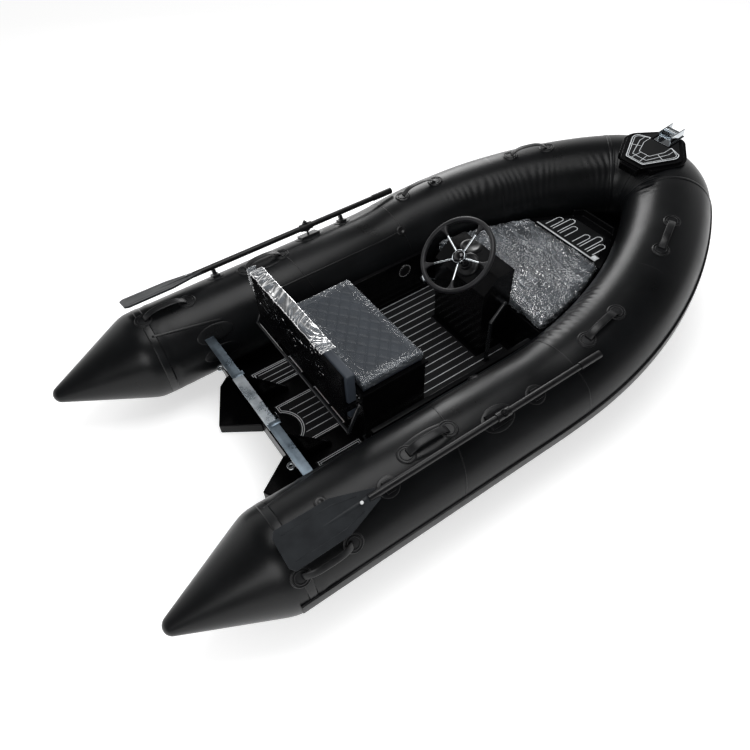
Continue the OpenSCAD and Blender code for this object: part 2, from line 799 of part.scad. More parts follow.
module strap_handles() {
    color("#1a1a1c") both() {
        on_tube(1205, 6) strap_handle(190);
        on_bow(7, 6) strap_handle(190);
        on_bow(26.5, 6) strap_handle(190);
    }
}

// Moulded rubber carrying handles near the stern
module lifting_handles() {
    color("#19191b") {
        mirror([0, 1, 0]) on_tube(620, 52) strap_handle(230);
        on_tube(640, -4) strap_handle(230);
    }
}

tube_port();
tube_starboard();
tube_bow_port();
tube_bow_starboard();
tube_stem();
tail_caps();
rub_strake();
hull();
stern_pods();
transom();
transom_cap();
motor_pad();
towing_eyes();
transom_knees();
side_coamings();
floor_mat_aft();
floor_mat_mid();
seat_box();
seat_lid();
seat_cushion();
backrest_frame();
backrest_board();
backrest_cushion();
console();
helm_unit();
wheel_rim();
wheel_spokes();
wheel_cap();
grab_rail();
bow_locker();
bow_step();
locker_lid();
front_cushion();
bow_step_mat();
bow_plate();
bow_plate_mat();
bow_roller();
bow_eye();
rowlocks();
oar_clips();
oar_port();
blade_port();
oar_starboard();
blade_starboard();
strap_handles();
lifting_handles();
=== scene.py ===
import json
import math

import bmesh
import bpy
from mathutils import Matrix, Vector, noise
from mathutils.bvhtree import BVHTree

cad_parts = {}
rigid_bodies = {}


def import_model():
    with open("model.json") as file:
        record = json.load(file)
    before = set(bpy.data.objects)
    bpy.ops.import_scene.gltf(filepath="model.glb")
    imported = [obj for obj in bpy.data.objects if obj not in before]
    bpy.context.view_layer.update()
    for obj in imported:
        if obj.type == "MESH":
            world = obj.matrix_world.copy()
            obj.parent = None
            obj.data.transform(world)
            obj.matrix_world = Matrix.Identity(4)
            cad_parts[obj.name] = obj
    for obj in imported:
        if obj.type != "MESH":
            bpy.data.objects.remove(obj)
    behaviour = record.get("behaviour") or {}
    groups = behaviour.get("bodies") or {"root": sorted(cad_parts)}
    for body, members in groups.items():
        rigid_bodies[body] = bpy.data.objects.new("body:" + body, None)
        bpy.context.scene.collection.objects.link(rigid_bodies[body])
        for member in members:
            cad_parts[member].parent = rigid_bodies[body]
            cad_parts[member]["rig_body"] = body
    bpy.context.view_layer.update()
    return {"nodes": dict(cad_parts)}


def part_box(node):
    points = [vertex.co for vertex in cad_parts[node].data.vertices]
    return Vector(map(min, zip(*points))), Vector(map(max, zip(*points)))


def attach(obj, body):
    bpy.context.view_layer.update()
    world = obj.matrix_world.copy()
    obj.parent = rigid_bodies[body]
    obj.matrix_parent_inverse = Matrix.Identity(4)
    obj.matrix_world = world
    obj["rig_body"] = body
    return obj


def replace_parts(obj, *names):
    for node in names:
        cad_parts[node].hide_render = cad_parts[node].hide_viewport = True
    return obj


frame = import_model()
scene = bpy.context.scene
nodes = frame["nodes"]


def shifted(x, y, z):
    """The matrix of a shift."""
    return Matrix.Translation((x, y, z))


def rotated(degrees, axis):
    """The matrix of a turn about an axis."""
    return Matrix.Rotation(math.radians(degrees), 4, axis)


# ---- Camera ----
# A camera close above the starboard quarter, looking down along the boat to the bow.
# Its roll tips the horizon a little, and its lens is a moderate wide angle.
camera_target = Vector((1.3079, -0.172, 0.36))
camera_turn = math.radians(327.28)
camera_height = math.radians(49.45)
camera_roll = math.radians(2.65)
camera_distance = 3.0538
camera_data = bpy.data.cameras.new("camera")
camera_data.sensor_width = 36
camera_data.lens = 30.82
camera = bpy.data.objects.new("camera", camera_data)
scene.collection.objects.link(camera)
camera.matrix_world = (
    Matrix.Translation(camera_target)
    @ Matrix.Rotation(camera_turn, 4, "Z")
    @ Matrix.Rotation(math.pi / 2 - camera_height, 4, "X")
    @ Matrix.Rotation(-camera_roll, 4, "Z")
    @ shifted(0, 0, camera_distance)
)
scene.camera = camera
scene.view_settings.view_transform = "Standard"


# ---- White studio ----
# A pale floor at the waterline, walls that are white to port and grey to starboard, a dim
# ceiling and three broad soft lamps. The camera sees all the walls as plain white.
def linear(hex_colour):
    """An sRGB colour such as #1a2b3c as linear red, green, blue and alpha."""
    parts = [int(hex_colour[i : i + 2], 16) / 255 for i in (1, 3, 5)]
    return [c / 12.92 if c <= 0.04045 else ((c + 0.055) / 1.055) ** 2.4 for c in parts] + [1]


def add(tree, kind, inputs=None, **settings):
    """Adds a node, with values or links for its inputs and its own settings."""
    made = tree.nodes.new(kind)
    for name, value in settings.items():
        setattr(made, name, value)
    for socket, value in (inputs or {}).items():
        if isinstance(value, bpy.types.NodeSocket):
            tree.links.new(value, made.inputs[socket])
        else:
            made.inputs[socket].default_value = value
    return made


def new_material(name):
    """A material with an empty node tree and its output node."""
    material = bpy.data.materials.new(name)
    material.use_nodes = True
    material.node_tree.nodes.clear()
    return material, material.node_tree, add(material.node_tree, "ShaderNodeOutputMaterial")


def background_rays(tree):
    """One for rays that show the room itself: seen directly, in a shine or through a clear film."""
    path = add(tree, "ShaderNodeLightPath")
    shiny = add(tree, "ShaderNodeMath", {
        0: path.outputs["Is Glossy Ray"], 1: path.outputs["Is Transmission Ray"]}, operation="MAXIMUM")
    return add(tree, "ShaderNodeMath", {0: shiny.outputs[0], 1: path.outputs["Is Camera Ray"]},
               operation="MAXIMUM")


world = bpy.data.worlds.new("studio")
world.use_nodes = True
scene.world = world
tree = world.node_tree
tree.nodes.clear()
sky_way = add(tree, "ShaderNodeSeparateXYZ", {0: add(tree, "ShaderNodeTexCoord").outputs["Generated"]})
ceiling = add(tree, "ShaderNodeMapRange", {
    "Value": sky_way.outputs["Z"], "From Min": 0.28, "From Max": 0.72, "To Min": 1, "To Max": 0.10},
    interpolation_type="SMOOTHSTEP")
path = add(tree, "ShaderNodeLightPath")
walls = add(tree, "ShaderNodeMapRange", {
    "Value": sky_way.outputs["Y"], "From Min": -0.35, "From Max": 0.45, "To Min": 0.16, "To Max": 1})
shine = add(tree, "ShaderNodeMath", {0: ceiling.outputs[0], 1: walls.outputs[0]}, operation="MULTIPLY")
seen = add(tree, "ShaderNodeMath", {0: shine.outputs[0], 1: path.outputs["Is Camera Ray"]},
           operation="MAXIMUM")
room_light = add(tree, "ShaderNodeBackground", {"Color": (1, 1, 1, 1), "Strength": 0.55})
room_seen = add(tree, "ShaderNodeBackground", {"Color": (1, 1, 1, 1), "Strength": seen.outputs[0]})
room = add(tree, "ShaderNodeMixShader", {
    0: background_rays(tree).outputs[0], 1: room_light.outputs[0], 2: room_seen.outputs[0]})
add(tree, "ShaderNodeOutputWorld", {"Surface": room.outputs[0]})

floor_half = 30
floor_mesh = bmesh.new()
bmesh.ops.create_grid(floor_mesh, x_segments=1, y_segments=1, size=floor_half)
floor_data = bpy.data.meshes.new("floor")
floor_mesh.to_mesh(floor_data)
floor_mesh.free()
floor = bpy.data.objects.new("floor", floor_data)
scene.collection.objects.link(floor)
floor_paint, tree, output = new_material("white_floor_paint")
floor_matt = add(tree, "ShaderNodeBsdfDiffuse", {"Color": linear("#f4f4f4")})
floor_glow = add(tree, "ShaderNodeEmission", {"Color": (1, 1, 1, 1), "Strength": 0.42})
floor_dark = add(tree, "ShaderNodeEmission", {"Color": (0, 0, 0, 1), "Strength": 0})
floor_lift = add(tree, "ShaderNodeMixShader", {
    0: background_rays(tree).outputs[0], 1: floor_dark.outputs[0], 2: floor_glow.outputs[0]})
floor_sum = add(tree, "ShaderNodeAddShader", {0: floor_matt.outputs[0], 1: floor_lift.outputs[0]})
tree.links.new(floor_sum.outputs[0], output.inputs["Surface"])
floor_data.materials.append(floor_paint)

for name, place, size, power in (
    ("lamp_over", (1.8, 0.2, 4.2), 2.6, 85),
    ("lamp_port_bow", (4.1, 3.9, 1.9), 2.0, 70),
    ("lamp_starboard_quarter", (-1.8, -3.4, 3.2), 2.2, 70),
):
    lamp_data = bpy.data.lights.new(name, "AREA")
    lamp_data.size = size
    lamp_data.energy = power
    lamp = bpy.data.objects.new(name, lamp_data)
    scene.collection.objects.link(lamp)
    aim = Vector((1.7, 0, 0.3)) - Vector(place)
    lamp.matrix_world = Matrix.Translation(place) @ aim.to_track_quat("-Z", "Y").to_matrix().to_4x4()

# ---- Buoyancy tubes ----
# Welded tubes of coated fabric, 460 mm across and drum tight. They are cut as panels that meet
# in lapped seams, so the skin swells a little between seams and puckers inside the bow's curve.
tube_low, tube_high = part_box("tube_port")
tube_r = (tube_high.y - tube_low.y) / 2
side_y = (tube_high.y + tube_low.y) / 2
tube_z = tube_low.z + tube_r
cone_length = 0.450
cone_tip_r = 0.050
nose_r = 0.0425
sheer = math.radians(8)
bend_r = 1.5
bow_r = 0.290
bow_run = 1.376
side_r = ((bow_run - bow_r) ** 2 + side_y ** 2 - bow_r ** 2) / (2 * (side_y - bow_r))
bow_turn = math.asin((bow_run - bow_r) / (side_r - bow_r))
turn_end = math.degrees(bow_turn)
sheer_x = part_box("tube_stem")[1].x - tube_r - bow_run * math.cos(sheer)
sheer_z = tube_z + bend_r * (1 - math.cos(sheer))
bend_x = sheer_x - bend_r * math.sin(sheer)
bow_plane = shifted(sheer_x, 0, sheer_z) @ Matrix.Rotation(-sheer, 4, "Y")
flip = Matrix.Scale(-1, 4, (0, 1, 0))
ring_points = 112


def on_tube(x, angle=0, height=0):
    """Frame on the port tube: x forward, z out from the skin, turned outboard from the top."""
    climb = min(sheer, math.asin(min(1, max(0, x - bend_x) / bend_r)))
    place = shifted(min(x, bend_x) + bend_r * math.sin(climb), side_y,
                    tube_z + bend_r * (1 - math.cos(climb)))
    return (place @ Matrix.Rotation(-climb, 4, "Y") @ rotated(-angle, "X")
            @ shifted(0, 0, tube_r + height))


def on_bow(turn, angle=0, height=0):
    """The same frame in the bow: the side arc turns first, and the stem's arc after it."""
    side = min(math.radians(turn), bow_turn)
    x, y = side_r * math.sin(side), side_y - side_r * (1 - math.cos(side))
    if turn > turn_end:
        x = bow_run - bow_r * (1 - math.sin(math.radians(turn)))
        y = bow_r * math.cos(math.radians(turn))
    return (bow_plane @ shifted(x, y, 0) @ rotated(-turn, "Z")
            @ rotated(-angle, "X") @ shifted(0, 0, tube_r + height))


def sweep(mesh, edges, verts, frames):
    """Extrudes a loop that lies at the first frame through all the others and returns its rings."""
    rings = [verts]
    for last, following in zip(frames, frames[1:]):
        made = bmesh.ops.extrude_edge_only(mesh, edges=edges)["geom"]
        verts = [g for g in made if isinstance(g, bmesh.types.BMVert)]
        new = set(verts)
        edges = [g for g in made if isinstance(g, bmesh.types.BMEdge) and all(v in new for v in g.verts)]
        bmesh.ops.transform(mesh, matrix=following @ last.inverted(), verts=verts)
        rings.append(verts)
    return rings


def axis_ring(mesh, spot):
    """A circle across the tube at a frame on its axis."""
    verts = bmesh.ops.create_circle(mesh, segments=ring_points, radius=tube_r,
                                    matrix=spot @ rotated(90, "Y"))["verts"]
    return verts, list({e for v in verts for e in v.link_edges})


def smooth(t):
    """Eases from 0 to 1 as t does."""
    t = max(0.0, min(1.0, t))
    return t * t * (3 - 2 * t)


def pucker(distance, angle, seed):
    """Depth of the fabric's gathers at a distance along the tube, angle from the top, outboard positive."""
    inner = (smooth((math.radians(-12) - angle) / math.radians(24))
             * smooth((angle + math.radians(120)) / math.radians(40)))
    fan = math.sin(distance * 2 * math.pi / 0.041 + 6 * noise.noise((distance * 5, angle * 1.4, seed)))
    strength = smooth(0.15 + 2.4 * noise.noise((distance * 2.3, angle * 0.8, seed)))
    return inner * strength * (0.7 * fan + 0.6 * noise.noise((distance * 34 + seed, angle * 0.9, seed)))


def make_piece(mesh, name, material, body="boat", sharp=None):
    """Turns a finished bmesh into a piece that rides on a body. Edges over the sharp angle stay crisp."""
    bmesh.ops.recalc_face_normals(mesh, faces=mesh.faces)
    for face in mesh.faces:
        face.smooth = True
    for edge in mesh.edges:
        edge.smooth = sharp is None or edge.calc_face_angle(0) < math.radians(sharp)
    data = bpy.data.meshes.new(name)
    mesh.to_mesh(data)
    mesh.free()
    made = bpy.data.objects.new(name, data)
    scene.collection.objects.link(made)
    data.materials.append(material)
    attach(made, body)
    return made


def surface(name, dark, light, rough, metallic=0.0, specular=0.3, patch=6, grain=300, depth=0.0002,
            stretch=(1, 1, 1)):
    """A material whose tone and roughness wander in slow patches, with a fine grain in its skin."""
    material, tree, output = new_material(name)
    place = add(tree, "ShaderNodeTexCoord").outputs["Object"]
    drawn = add(tree, "ShaderNodeVectorMath", {0: place, 1: stretch}, operation="MULTIPLY").outputs[0]
    slow = add(tree, "ShaderNodeTexNoise", {"Vector": place, "Scale": patch, "Detail": 5, "Roughness": 0.6})
    tone = add(tree, "ShaderNodeMapRange", {"Value": slow.outputs[0], "From Min": 0.3, "From Max": 0.7})
    colour = add(tree, "ShaderNodeMix", {0: tone.outputs[0], 6: linear(dark), 7: linear(light)},
                 data_type="RGBA")
    finish = add(tree, "ShaderNodeMapRange", {
        "Value": slow.outputs[0], "From Min": 0.3, "From Max": 0.7, "To Min": rough[0], "To Max": rough[1]})
    fine = add(tree, "ShaderNodeTexNoise", {"Vector": drawn, "Scale": grain, "Detail": 3, "Roughness": 0.55})
    bump = add(tree, "ShaderNodeBump", {"Height": fine.outputs[0], "Strength": 0.35, "Distance": depth})
    shader = add(tree, "ShaderNodeBsdfPrincipled", {
        "Base Color": colour.outputs[2], "Roughness": finish.outputs[0], "Metallic": metallic,
        "Specular IOR Level": specular, "Normal": bump.outputs[0]})
    tree.links.new(shader.outputs[0], output.inputs["Surface"])
    return material


def dress(material, *names):
    """Gives CAD pieces that are shown as they are their material."""
    for node in names:
        nodes[node].data.materials.clear()
        nodes[node].data.materials.append(material)


pvc = surface("coated_pvc_fabric", "#08090a", "#0d0e10", (0.27, 0.37), specular=0.24, patch=4, grain=520,
              depth=0.0005)


def steps(low, high, count):
    """Numbers from low to high, in a count of even steps."""
    return [low + (high - low) * i / count for i in range(count + 1)]


def cone_radius(x):
    """Radius of a stern cone: a round nose, a straight side and a soft shoulder."""
    slope = (tube_r - cone_tip_r) / (cone_length - 0.05)
    if x < nose_r * (1 - math.sin(math.atan(slope))):
        return math.sqrt(max(0, nose_r ** 2 - (nose_r - x) ** 2))
    straight = cone_tip_r + slope * (x - 0.05)
    soft = 0.007
    if straight <= cone_tip_r:
        return straight
    return tube_r - soft * math.log(1 + math.exp((tube_r - straight) / soft))


def to_side(mesh, side):
    """Mirrors a mesh made on the port side when its side is starboard."""
    if side < 0:
        bmesh.ops.transform(mesh, matrix=flip, verts=mesh.verts)


cone_end = 0.540
side_spots = [on_tube(x, 0, -tube_r) for x in steps(cone_end, sheer_x - 0.006, 120)]
side_spots.append(on_bow(0, 0, -tube_r))
cone_spots = [nose_r * (1 - math.cos(math.radians(a))) for a in steps(8, 60, 8)]
cone_spots += steps(0.032, cone_end - 0.01, 44)
for side, name in ((1, "port"), (-1, "starboard")):
    mesh = bmesh.new()
    cone_frames = [shifted(x, side_y, tube_z) @ Matrix.Scale(cone_radius(x) / tube_r, 4) for x in cone_spots]
    verts, edges = axis_ring(mesh, cone_frames[0])
    bmesh.ops.contextual_create(mesh, geom=verts)
    rings = sweep(mesh, edges, verts, cone_frames + side_spots)
    for ring in rings[len(cone_frames):]:
        x = sum(v.co.x for v in ring) / ring_points
        centre = Vector((x, side_y, sum(v.co.z for v in ring) / ring_points))
        for v in ring:
            out = v.co - centre
            angle = math.atan2(out.y, out.z)
            depth = 0.0008 if side > 0 else 0.0024
            gather = pucker(x, angle, 3.1 * side) * smooth((x - 1.65) / 0.3) * depth
            gather += noise.noise((x * 30, angle * 3, side)) * 0.0030 * math.exp(-((x - 0.57) / 0.03) ** 2)
            settle = noise.noise((x * 3.0, angle * 1.3, side * 5)) * 0.0010
            v.co += out.normalized() * (gather + settle)
    to_side(mesh, side)
    skin = make_piece(mesh, "side_tube_" + name, pvc)
    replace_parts(skin, "tube_" + name)
    if side > 0:
        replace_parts(skin, "tube_port", "tail_caps")

mesh = bmesh.new()
side_steps = 150
stem_steps = 40
half_frames = [on_bow(turn_end * i / side_steps, 0, -tube_r) for i in range(side_steps + 1)]
half_frames += [on_bow(turn_end + (90 - turn_end) * i / stem_steps, 0, -tube_r)
                for i in range(1, stem_steps + 1)]
bow_frames = half_frames + [flip @ f @ flip for f in reversed(half_frames[:-1])]
verts, edges = axis_ring(mesh, bow_frames[0])
rings = sweep(mesh, edges, verts, bow_frames)
middle = len(half_frames) - 1
ring_gap = side_r * bow_turn / side_steps
for index, (ring, place) in enumerate(zip(rings, bow_frames)):
    outward = (place.to_3x3() @ Vector((0, 1 if index <= middle else -1, 0))).normalized()
    upward = (place.to_3x3() @ Vector((0, 0, 1))).normalized()
    along = sheer_x + index * ring_gap
    near_seam = max(math.exp(-abs(index - s) / 8) for s in (side_steps, len(bow_frames) - 1 - side_steps))
    for v in ring:
        out = v.co - place.translation
        angle = math.atan2(out.dot(outward), out.dot(upward))
        depth = 0.0010 if index <= middle else 0.0028
        gather = pucker(along if index <= middle else along + 9, angle, 3.1) * (depth + 0.003 * near_seam)
        settle = noise.noise((along * 3, angle * 1.3, 5)) * 0.0010 - 0.0022 * near_seam
        v.co += out.normalized() * (gather + settle)
bow_skin = make_piece(mesh, "bow_tube", pvc)
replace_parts(bow_skin, "tube_bow_port", "tube_bow_starboard", "tube_stem")

# ---- Seams and strake on the tubes ----
# Every seam is covered by a thin glued tape, a little shinier than the fabric. A rubber strake
# with three ridges runs round the widest part.
tape_pvc = surface("glued_pvc_tape", "#08090a", "#0f1012", (0.26, 0.36), specular=0.32, patch=9, grain=400,
                   depth=0.0003)
rubber = surface("moulded_rubber", "#070708", "#0d0d0f", (0.34, 0.46), specular=0.28, patch=11, grain=350,
                 depth=0.0003)


def band(mesh, frames, width, thick, points=8, along="x"):
    """A flat round-edged band swept through frames that it runs along by their x or their y."""
    turn, size = rotated(90, "Y"), (thick, width, 1, 1)
    if along == "y":
        turn, size = rotated(90, "X"), (width, thick, 1, 1)
    place = frames[0] @ turn @ Matrix.Diagonal(size)
    verts = bmesh.ops.create_circle(mesh, segments=points, radius=0.5, matrix=place)["verts"]
    edges = list({e for v in verts for e in v.link_edges})
    rings = sweep(mesh, edges, verts, frames)
    for ring in (rings[0], rings[-1]):
        bmesh.ops.contextual_create(mesh, geom=ring)
    return rings


def both_sides(mesh):
    """Adds the mirror image on the other side of the boat."""
    copy = bmesh.ops.duplicate(mesh, geom=mesh.verts[:] + mesh.edges[:] + mesh.faces[:])["geom"]
    verts = [g for g in copy if isinstance(g, bmesh.types.BMVert)]
    bmesh.ops.transform(mesh, matrix=flip, verts=verts)


mesh = bmesh.new()
wrap = 125
around = steps(-wrap, wrap, 90)
band(mesh, [on_tube(0.520, a, 0.0002) for a in around], 0.040, 0.0016, along="y")
for x in (1.32, 2.05):
    band(mesh, [on_tube(x - 0.10 * a / wrap, a, 0.0003) for a in around], 0.006, 0.0016, along="y")
for turn in (turn_end * 0.5, turn_end):
    band(mesh, [on_bow(turn, a, -0.0008) for a in around], 0.020, 0.0018, along="y")
band(mesh, [on_tube(x, -41, 0.0003) for x in steps(1.21, 1.985, 50)], 0.010, 0.0018)
band(mesh, [on_tube(x, -30 - 14 * (x - 0.52) / 0.3, 0.0003) for x in steps(0.52, 0.86, 30)], 0.016, 0.0016)
both_sides(mesh)
make_piece(mesh, "seam_tapes", tape_pvc)

mesh = bmesh.new()
strake_spots = [on_tube(x, 90, 0) for x in steps(cone_length + 0.012, bend_x, 60)]
strake_spots += [on_tube(x, 90, 0) for x in steps(bend_x + 0.02, sheer_x - 0.004, 8)]
strake_spots += [on_bow(t, 90, 0) for t in steps(0, turn_end, 60) + steps(turn_end + 2, 90, 16)]
strake_spots += [flip @ f @ flip for f in reversed(strake_spots[:-1])]
for drop, width in ((0, 0.020), (-0.018, 0.012), (0.018, 0.012)):
    lift = 0.0035 - abs(drop) / 18
    shift = shifted(0, drop, lift)
    back = shifted(0, -drop, lift)
    half = len(strake_spots) // 2
    band(mesh, [f @ (shift if i <= half else back) for i, f in enumerate(strake_spots)], width, 0.010,
         points=12)
make_piece(mesh, "strake_ridges", rubber)
dress(rubber, "rub_strake")

# ---- Fittings on the tubes ----
# Webbing handles stand on round pads, and inflation valves sit in flanges. The oars' holders
# have glued patches that follow the tube's skin.
handle_x = 1.205


def turned(mesh, profile, count=48, place=None):
    """Turns a profile of radius and height once round z, and puts it at a frame."""
    before = set(mesh.verts)
    tip = bmesh.ops.create_vert(mesh, co=(profile[0][0], 0, profile[0][1]))["vert"]
    line, edges = list(tip), []
    for radius, height in profile[1:]:
        made = bmesh.ops.extrude_vert_indiv(mesh, verts=tip)
        tip = made["verts"]
        tip[0].co = (radius, 0, height)
        line += tip
        edges += made["edges"]
    bmesh.ops.spin(mesh, geom=line + edges, cent=(0, 0, 0), axis=(0, 0, 1), angle=2 * math.pi, steps=count,
                   use_merge=True)
    bmesh.ops.remove_doubles(mesh, verts=[v for v in mesh.verts if v not in before], dist=1e-6)
    verts = [v for v in mesh.verts if v not in before]
    if place:
        bmesh.ops.transform(mesh, matrix=place, verts=verts)
    return verts


def lay(verts, spot, stretch=(1, 1)):
    """Bends points drawn flat so that they lie on the tube at a frame on its skin."""
    for v in verts:
        x, y, height = v.co.x * stretch[0], v.co.y * stretch[1], v.co.z
        turn = y / tube_r
        out = tube_r + height
        v.co = spot @ Vector((x, out * math.sin(turn), out * math.cos(turn) - tube_r))


def patch(mesh, spot, radius, stretch=(1, 1), height=0.0022):
    """A glued patch with a rounded rim."""
    profile = [(0, height), (radius * 0.35, height), (radius * 0.7, height), (radius - 0.004, height),
               (radius - 0.001, height * 0.6), (radius, 0), (radius, -0.001), (radius * 0.5, -0.001),
               (0, -0.001)]
    lay(turned(mesh, profile), spot, stretch)


def handle(mesh, spot, length, rise=0.037, wide=0.036):
    """A webbing strap in a low arch between two ringed pads."""
    foot = 0.004
    for end in (-1, 1):
        pad = spot @ shifted(end * length / 2, 0, 0)
        patch(mesh, pad, 0.044, height=0.0035)
        for ring in (0.0265, 0.0375):
            profile = [(ring - 0.003, 0.003), (ring - 0.0015, 0.0064), (ring + 0.0015, 0.0064),
                       (ring + 0.003, 0.003), (ring, 0.001), (ring - 0.003, 0.003)]
            lay(turned(mesh, profile), pad)
    arch = []
    for t in steps(-1, 1, 36):
        height = foot + (rise - foot) * (1 - abs(t) ** 3.2)
        slope = math.atan2(-(rise - foot) * 3.2 * abs(t) ** 2.2 * (1 if t > 0 else -1), length / 2)
        arch.append(spot @ shifted(t * (length / 2 - 0.004), 0, height)
                    @ Matrix.Rotation(-slope, 4, "Y"))
    band(mesh, arch, wide, 0.0046, points=12)


webbing = surface("webbing_strap", "#08080a", "#101113", (0.32, 0.46), specular=0.35, patch=30, grain=260,
                  depth=0.0006)
mesh = bmesh.new()
for spot in (on_tube(handle_x, 6), on_bow(7, 6), on_bow(26.5, 6)):
    handle(mesh, spot, 0.215)
both_sides(mesh)
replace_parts(make_piece(mesh, "webbing_handles", webbing), "strap_handles")
mesh = bmesh.new()
handle(mesh, on_tube(0.640, -4), 0.23)
handle(mesh, flip @ on_tube(0.620, 52) @ flip, 0.23, wide=0.030)
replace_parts(make_piece(mesh, "carrying_handles", webbing), "lifting_handles")

mesh = bmesh.new()
valve = [(0, 0.005), (0.008, 0.0055), (0.012, 0.008), (0.018, 0.008), (0.0195, 0.0045), (0.024, 0.0045),
         (0.027, 0.002), (0.027, -0.003), (0, -0.003)]
for x, angle, side in ((0.703, 2, -1), (2.00, -41, 1), (1.62, -48, -1)):
    spot = on_tube(x, angle) if side > 0 else flip @ on_tube(x, angle) @ flip
    turned(mesh, valve, place=spot)
plastic = surface("moulded_plastic", "#0b0b0c", "#131315", (0.26, 0.38), specular=0.35, patch=14, grain=420)
make_piece(mesh, "inflation_valves", plastic, sharp=40)

mesh = bmesh.new()
pin_low, pin_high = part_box("rowlocks")
pin_x = (pin_low.x + pin_high.x) / 2
patch(mesh, on_tube(pin_x, 24), 0.085, (1, 0.68))
for x in (pin_x - 0.565, pin_x + 0.215):
    patch(mesh, on_tube(x, 24), 0.050, (1, 0.9))
patch(mesh, on_tube(handle_x, 6), 0.152, (1, 0.36), height=0.0014)
both_sides(mesh)
make_piece(mesh, "glued_patches", tape_pvc)

# ---- Moulded and metal pieces with rounded edges ----
# Copies of the CAD's plain shapes with the small radii that moulding, folding and sanding leave.
gelcoat = surface("black_gelcoat", "#040405", "#080809", (0.14, 0.26), specular=0.14, patch=7, grain=120,
                  depth=0.0003)
brushed = surface("brushed_aluminium", "#4b565f", "#7f8b95", (0.24, 0.36), metallic=1.0, specular=0.5,
                  patch=9, stretch=(1, 0.06, 1))
steel = surface("polished_stainless", "#b4babf", "#d5d9dc", (0.08, 0.16), metallic=1.0, specular=0.5,
                patch=25, grain=500, depth=0.00005)


def rounded(node, material, radius, segments=3):
    """A copy of a CAD piece with its sharp edges rounded, shown in its place."""
    mesh = bmesh.new()
    mesh.from_mesh(nodes[node].data)
    bmesh.ops.remove_doubles(mesh, verts=mesh.verts, dist=1e-5)
    bmesh.ops.dissolve_limit(mesh, angle_limit=math.radians(1), verts=mesh.verts, edges=mesh.edges)
    sharp = [e for e in mesh.edges if len(e.link_faces) == 2 and e.calc_face_angle(0) > math.radians(30)]
    bmesh.ops.bevel(mesh, geom=sharp, offset=radius, affect="EDGES", segments=segments, profile=0.5,
                    clamp_overlap=True, material=-1)
    made = make_piece(mesh, node + "_rounded", material, nodes[node]["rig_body"], sharp=40)
    made.modifiers.new("even_shading", "WEIGHTED_NORMAL").keep_sharp = True
    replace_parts(made, node)
    return made


for node, radius in (("transom", 0.004), ("transom_knees", 0.003), ("side_coamings", 0.004),
                     ("seat_box", 0.006), ("seat_lid", 0.003), ("backrest_board", 0.004),
                     ("console", 0.005), ("bow_locker", 0.004), ("bow_step", 0.004), ("locker_lid", 0.002),
                     ("stern_pods", 0.008), ("bow_plate", 0.005)):
    rounded(node, gelcoat, radius)
dress(gelcoat, "hull")
# The motor pad's aluminium is paler than the cap's.
pale_pad_aluminium = surface("pale_aluminium", "#97a3ad", "#dfe5ea", (0.22, 0.34), metallic=1.0, specular=0.5, patch=12,
               stretch=(1, 0.06, 1))
rounded("transom_cap", brushed, 0.0012)
rounded("motor_pad", pale_pad_aluminium, 0.0015)
for node, radius in (("towing_eyes", 0.0012), ("bow_eye", 0.0015), ("bow_roller", 0.0012)):
    rounded(node, steel, radius)
for node, radius in (("rowlocks", 0.002), ("oar_clips", 0.0015)):
    rounded(node, plastic, radius)
dress(steel, "wheel_spokes")
dress(plastic, "helm_unit")

# ---- Foam deck mats ----
# Charcoal EVA with a brushed top. Lines cut through the top layer show the pale layer below:
# planks that run fore and aft, and double outlines round the aft mat and the bow plate.
foam = surface("eva_foam", "#0b0c0d", "#121315", (0.62, 0.8), specular=0.2, patch=8, grain=240,
               depth=0.0006, stretch=(0.25, 1, 1))
pale_foam = surface("pale_eva_layer", "#c4c8cb", "#dcdfe1", (0.6, 0.75), specular=0.2, patch=12, grain=400,
                    depth=0.0003)
line_width = 0.0034
for node in ("floor_mat_aft", "floor_mat_mid", "bow_step_mat", "bow_plate_mat"):
    rounded(node, foam, 0.0012, 2)


def path_frames(points, height, closed=False):
    """Frames along a plan route at a height, facing the way it runs."""
    points = [Vector((p[0], p[1], height)) for p in points]
    if closed:
        points.append(points[0])
    frames = []
    for i, point in enumerate(points):
        ahead = points[i + 1] - point if i + 1 < len(points) else Vector()
        behind = point - points[i - 1] if i else Vector()
        if closed and i in (0, len(points) - 1):
            ahead, behind = points[1] - points[0], points[-1] - points[-2]
        way = (ahead.normalized() + behind.normalized()).normalized()
        widen = 1 / max(0.6, abs(way.dot(ahead.normalized() if ahead.length else way)))
        frames.append(Matrix.Translation(point) @ Matrix.Rotation(math.atan2(way.y, way.x), 4, "Z")
                      @ Matrix.Diagonal((1, widen, 1, 1)))
    return frames


def line(mesh, points, height, width=line_width, closed=False, place=None):
    """A cut line in a mat."""
    frames = path_frames(points, height, closed)
    if place:
        frames = [place @ f for f in frames]
    band(mesh, frames, width, 0.0008)


mesh = bmesh.new()
mid_low, mid_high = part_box("floor_mat_mid")
seat_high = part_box("seat_box")[1]
pod_low, pod_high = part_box("console")
mat_top = mid_high.z
plank = 0.046
for i in range(-8, 9):
    y = i * plank
    if abs(y) < seat_high.y + 0.012:
        start = seat_high.x + 0.016
    else:
        start = mid_low.x + 0.012
    end = mid_high.x - 0.012 if abs(y) > pod_high.y + 0.012 else pod_low.x - 0.016
    line(mesh, [(start, y), (end, y)], mat_top)
edge = mid_high.y - 0.010
for side in (-1, 1):
    line(mesh, [(mid_low.x + 0.010, side * edge), (mid_high.x - 0.010, side * edge)], mat_top)

